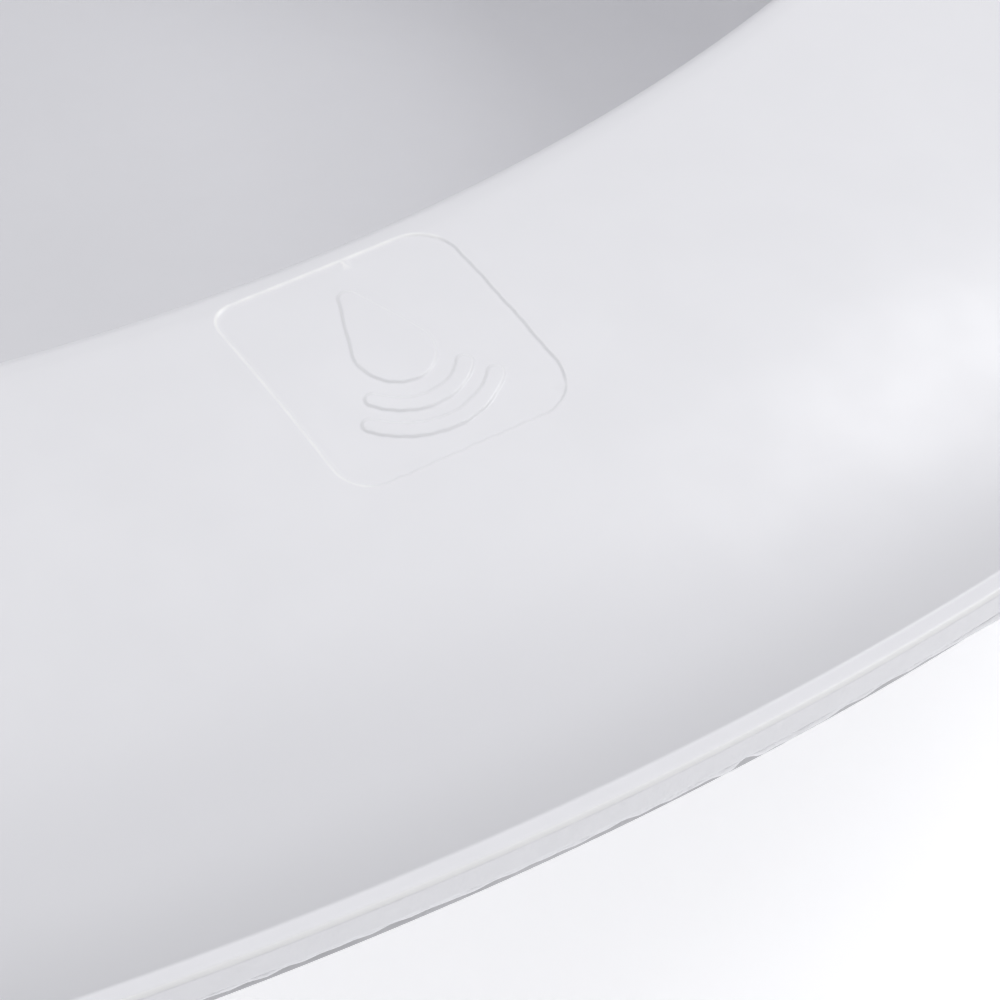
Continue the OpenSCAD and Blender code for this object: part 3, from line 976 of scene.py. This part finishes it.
def mouldedPlastic(name, look):
    finish = Finish(bpy.data.materials.new(name))
    place = finish.node("ShaderNodeTexCoord", out=3)
    cloud = finish.noise(place, plastic["cloudSize"], 3.0).over(0.3, 0.7)
    fineCloud = finish.noise(place, plastic["cloudSize"] / 9, 2.0).over(0.25, 0.75)
    tone = finish.mix(cloud * 0.6 + fineCloud * 0.25, look["colour"], look["shade"])

    # a few tiny specks in the plastic
    cellPlace = {"Vector": place, "Scale": 1 / plastic["speckSize"]}
    cells = finish.node("ShaderNodeTexVoronoi", dict(feature="F1"), cellPlace)
    pick = finish.node("ShaderNodeTexVoronoi", dict(feature="F1"), cellPlace, out=1)
    chosen = finish.node("ShaderNodeSeparateColor", {}, {0: pick}).over(*plastic["speckPick"])
    specks = (1 - cells.over(*plastic["speckRadius"])) * chosen
    tone = finish.mix(specks * 0.75, tone, plastic["speck"])

    # the band along the weld, told by height over the weld plane: painted shade darkens the flange faces,
    # the bead and most of all the bowl's flange under the seat's overhang; the tool's marks are bumps
    height = finish.node("ShaderNodeVectorMath", dict(operation="DOT_PRODUCT"),
                         {0: place, 1: (-math.sin(slope), 0, math.cos(slope))}, out=1) - weldHeight * mm
    weldBand = (1 - height.overHeights("weldTop")) * height.overHeights("weldBottom")
    weldShadeNoise = finish.noise(place, plastic["weldShadeNoiseSize"], 3.0).over(0.3, 0.7)
    tone = finish.mix(weldBand * (0.75 + 0.25 * weldShadeNoise), tone, look["weldShadeTone"])

    # painted shade: darker colour in the hollow where the rim runs into the flange
    hollowShadeMask = height.overHeights("hollowStart") * (1 - height.overHeights("hollowEnd"))
    hollowShadeTone = [channel * plastic["paintedHollowShade"] for channel in look["colour"][:3]] + [1]
    tone = finish.mix(hollowShadeMask, tone, hollowShadeTone)
    # painted highlight: a white line along the rounding of the flange's top edge
    edgeHighlight = height.overHeights("cornerStart") * (1 - height.overHeights("cornerEnd"))
    tone = finish.mix(edgeHighlight * 0.8, tone, plastic["paintedHighlight"])
    # painted highlight from the mark's mesh: white on its raised sides, the tool's slip and round the
    # figure
    paintedShine = finish.node("ShaderNodeAttribute", dict(attribute_name="paintedShine"), out=2)
    tone = finish.mix(paintedShine, tone, plastic["paintedHighlight"])

    # painted light: the plastic glows a little, more of it towards the grip, to lift the bowl's shaded
    # inside
    towardsGrip = finish.node("ShaderNodeSeparateXYZ", {}, [place]).over(*plastic["gripGlow"])
    paintedGlow = finish.mix(towardsGrip, plastic["paintedGlowDim"], plastic["paintedGlowLit"])

    if "outside" in look:        # painted shade: what is turned to the floor is darker, and gets no painted glow
        normal = finish.node("ShaderNodeNewGeometry", out=1)
        turnedUp = finish.node("ShaderNodeSeparateXYZ", {}, [normal], out=2).over(*plastic["underside"])
        tone = finish.mix(turnedUp, look["outside"], tone)
        paintedGlow = finish.mix(turnedUp, (0, 0, 0, 1), paintedGlow)

    # fine scuffs, lying mostly one way
    turned = finish.node("ShaderNodeMapping", {}, {
        "Vector": place, "Rotation": plastic["scuffTurn"], "Scale": plastic["scuffStretch"]})
    scuff = finish.noise(turned, plastic["scuffSize"], 4.0, 0.62).over(0.60, 0.74)
    rough = look["roughness"] + 0.05 * fineCloud + 0.04 * cloud + 0.09 * scuff

    wave = finish.noise(place, plastic["waveSize"], 1.5)
    peel = finish.noise(place, plastic["peelSize"], 2.0, 0.6)
    drag = finish.noise(place, plastic["dragSize"], 3.0, 0.6)
    relief = finish.node("ShaderNodeBump", {}, {
        "Strength": 1.0, "Distance": plastic["relief"] * look["bump"],
        "Height": peel * 0.16 + wave * 1.6 - scuff * 0.12 - specks * 0.8 + weldBand * drag * 5.0})
    shader = finish.node("ShaderNodeBsdfPrincipled", {}, {
        "Base Color": tone, "Roughness": rough, "Normal": relief, "IOR": plastic["refraction"],
        "Specular IOR Level": 0.5, "Emission Color": paintedGlow, "Emission Strength": look["paintedGlow"]})
    finish.node("ShaderNodeOutputMaterial", {}, {"Surface": shader})
    return finish.owner


for piece, node, look, slot in ((seatPiece, "seat_shell", "seat", "seat_plastic"),
                                (bowlPiece, "bowl_shell", "bowl", "bowl_plastic"),
                                (beadPiece, "weld_bead", "weld", "weld_plastic")):
    piece.data.materials.append(mouldedPlastic(look + "MouldedPlastic", plastic[look]))
    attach(piece, "root")
    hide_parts(node)
print("finishes done")


# floor, light and camera

studio = dict(
    floorSize=6.0,
    floorColour=(0.95, 0.95, 0.96, 1),
    floorShade=(0.91, 0.91, 0.92, 1),
    floorPatch=0.3,       # size of its faint patches, metres
    floorRoughness=0.6,
    floorGlow=0.43,
    zenith=(0.325, 0.325, 0.332, 1),
    horizon=(0.58, 0.583, 0.592, 1),
    horizonTop=0.75,      # how far up the horizon's light goes, as the upward share of a direction
    horizonFall=1.5,
    # lamps hang level over the pan, and a place is measured from its middle
    lamps=[
        dict(name="overheadSoftbox", power=4.0, size=(0.90, 0.85), place=(0.30, 0.175, 0.98)),
        dict(name="rightSoftbox", power=4.6, size=(0.50, 0.48), place=(0.78, -0.13, 0.95)),
        dict(name="leftFill", power=1.8, size=(0.60, 0.60), place=(-0.75, 0.20, 0.85)),
    ],
)
floorMesh = Surface()
half = studio["floorSize"] / 2 / mm
floorMesh.grid(np.array([[[-half, -half, 0], [half, -half, 0]], [[-half, half, 0], [half, half, 0]]]))
floor = floorMesh.piece("floor")
floor.location.z = cadLow.z
floorFinish = Finish(bpy.data.materials.new("paleFloor"))
place = floorFinish.node("ShaderNodeTexCoord", out=3)
patch = floorFinish.noise(place, studio["floorPatch"], 3.0).over(0.3, 0.7)
floorTone = floorFinish.mix(patch * 0.3, studio["floorColour"], studio["floorShade"])
floorShader = floorFinish.node("ShaderNodeBsdfPrincipled", {}, {
    "Base Color": floorTone, "Roughness": studio["floorRoughness"],
    "Emission Color": (1, 1, 1, 1), "Emission Strength": studio["floorGlow"]})
floorFinish.node("ShaderNodeOutputMaterial", {}, {"Surface": floorShader})
floor.data.materials.append(floorFinish.owner)

world = bpy.data.worlds.new("studio")
sky = Finish(world)
aim = sky.node("ShaderNodeSeparateXYZ", {}, [sky.node("ShaderNodeTexCoord")], out=2)
low = (1 - aim.over(0.0, studio["horizonTop"])) ** studio["horizonFall"]
air = sky.node("ShaderNodeBackground", {}, {"Color": sky.mix(low, studio["zenith"], studio["horizon"])})
sky.node("ShaderNodeOutputWorld", {}, {"Surface": air})
bpy.context.scene.world = world

middle = (cadLow + cadHigh) / 2
for spec in studio["lamps"]:
    lamp = bpy.data.lights.new(spec["name"], "AREA")
    lamp.shape = "RECTANGLE"
    lamp.size, lamp.size_y = spec["size"]
    lamp.energy = spec["power"]
    made = bpy.data.objects.new(spec["name"], lamp)
    made.location = middle + Vector(spec["place"])
    made.visible_camera = False
    bpy.context.scene.collection.objects.link(made)

view = dict(
    azimuth=32.10,        # of the camera from the pan's long side, degrees
    elevation=40.40,
    roll=7.62,
    lens=134.97,          # on a 36 mm sensor
    distance=272.43,      # to the mark's middle, along the view
    across=-7.585,        # where the mark's middle lies off the view's axis
    up=10.783,
)
azimuth, elevation, roll = (math.radians(view[key]) for key in ("azimuth", "elevation", "roll"))
backward = np.array([-math.sin(azimuth) * math.cos(elevation), -math.cos(azimuth) * math.cos(elevation),
                     math.sin(elevation)])
levelRight = np.array([math.cos(azimuth), -math.sin(azimuth), 0])
levelUp = np.cross(backward, levelRight)
right = levelRight * math.cos(roll) + levelUp * math.sin(roll)
up = levelUp * math.cos(roll) - levelRight * math.sin(roll)
eye = markMiddle + view["distance"] * backward - view["across"] * right - view["up"] * up
camera = bpy.data.objects.new("camera", bpy.data.cameras.new("camera"))
camera.data.sensor_width = 36
camera.data.lens = view["lens"]
camera.data.clip_start = 0.01
camera.data.clip_end = 50
camera.matrix_world = Matrix([
    [right[k], up[k], backward[k], eye[k] * mm] for k in range(3)] + [[0, 0, 0, 1]])
bpy.context.scene.collection.objects.link(camera)
bpy.context.scene.camera = camera
bpy.context.scene.view_settings.view_transform = "Standard"

print("camera and light done")
